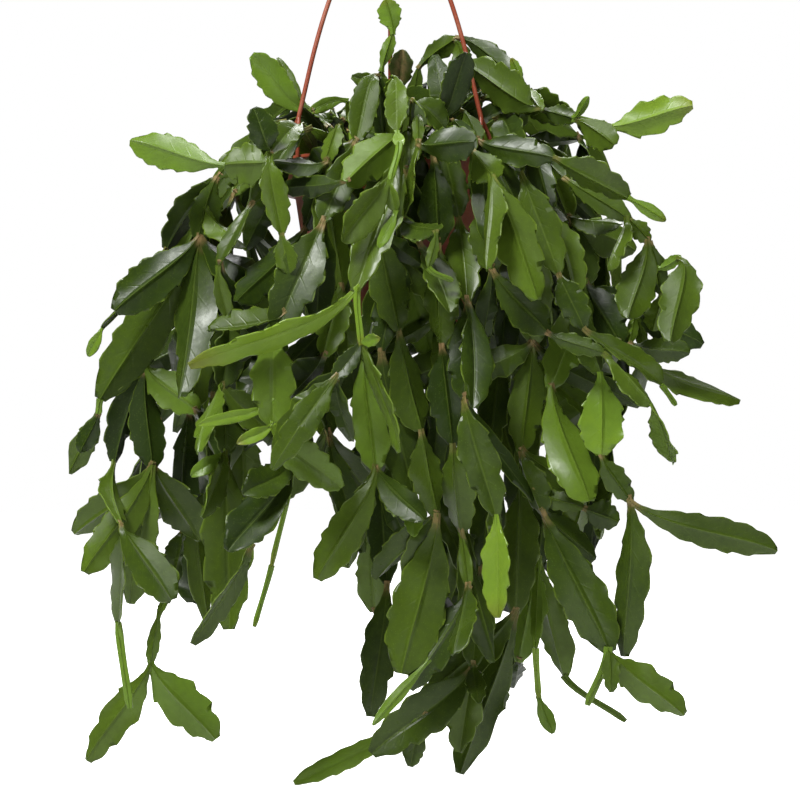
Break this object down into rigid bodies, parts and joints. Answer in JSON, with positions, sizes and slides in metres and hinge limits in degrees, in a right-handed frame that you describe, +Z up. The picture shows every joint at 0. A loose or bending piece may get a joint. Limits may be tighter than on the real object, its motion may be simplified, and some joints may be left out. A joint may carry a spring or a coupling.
{
  "type": "potted rhipsalis",
  "caption": "Leaf-stemmed hanging cactus in a round plastic hanging pot with a wire-armed hanger, its notched flat stems trailing all round the rim.",
  "frame": {"origin": "the inside top of the hanger's hook, where it bears on its rail", "axes": "+Z up along the pot's axis, the front of the picture towards -Y, +X to the right"},
  "size_m": [0.4838, 0.3713, 0.6702],
  "materials": {
    "pot_plastic": "matte",
    "hanger_plastic": "matte",
    "soil_mix": "rough",
    "leaf_skin": "waxy"
  },
  "bodies": {
    "root": {"hanger_arm_back": "hanger_plastic", "hanger_arm_left": "hanger_plastic", "hanger_arm_right": "hanger_plastic", "hanger_hook": "hanger_plastic", "pot": "pot_plastic", "soil": "soil_mix", "stem_arching": "leaf_skin", "stem_bottom_front": "leaf_skin", "stem_bottom_long": "leaf_skin", "stem_bottom_middle": "leaf_skin", "stem_bright_front": "leaf_skin", "stem_broad_left": "leaf_skin", "stem_centre_front": "leaf_skin", "stem_crown_1": "leaf_skin", "stem_crown_2": "leaf_skin", "stem_crown_3": "leaf_skin", "stem_crown_4": "leaf_skin", "stem_dark_middle": "leaf_skin", "stem_high_right": "leaf_skin", "stem_inner_1": "leaf_skin", "stem_inner_2": "leaf_skin", "stem_left_front": "leaf_skin", "stem_left_reach": "leaf_skin", "stem_lining_1": "leaf_skin", "stem_lining_2": "leaf_skin", "stem_long_right": "leaf_skin", "stem_lower_band": "leaf_skin", "stem_lower_left": "leaf_skin", "stem_lower_right": "leaf_skin", "stem_mid_right": "leaf_skin", "stem_old_crown": "leaf_skin", "stem_outer_1": "leaf_skin", "stem_outer_2": "leaf_skin", "stem_outer_3": "leaf_skin", "stem_outer_4": "leaf_skin", "stem_outer_5": "leaf_skin", "stem_outer_6": "leaf_skin", "stem_outer_7": "leaf_skin", "stem_outer_8": "leaf_skin", "stem_outer_9": "leaf_skin", "stem_outer_left": "leaf_skin", "stem_pale_left": "leaf_skin", "stem_right_bottom": "leaf_skin", "stem_right_corky": "leaf_skin", "stem_right_drop": "leaf_skin", "stem_right_front": "leaf_skin", "stem_right_low": "leaf_skin", "stem_right_second": "leaf_skin", "stem_rounded_front": "leaf_skin", "stem_thin_right": "leaf_skin", "stem_top_leaf": "leaf_skin", "stem_upper_left": "leaf_skin", "stem_upright_left": "leaf_skin"}
  },
  "joints": []
}
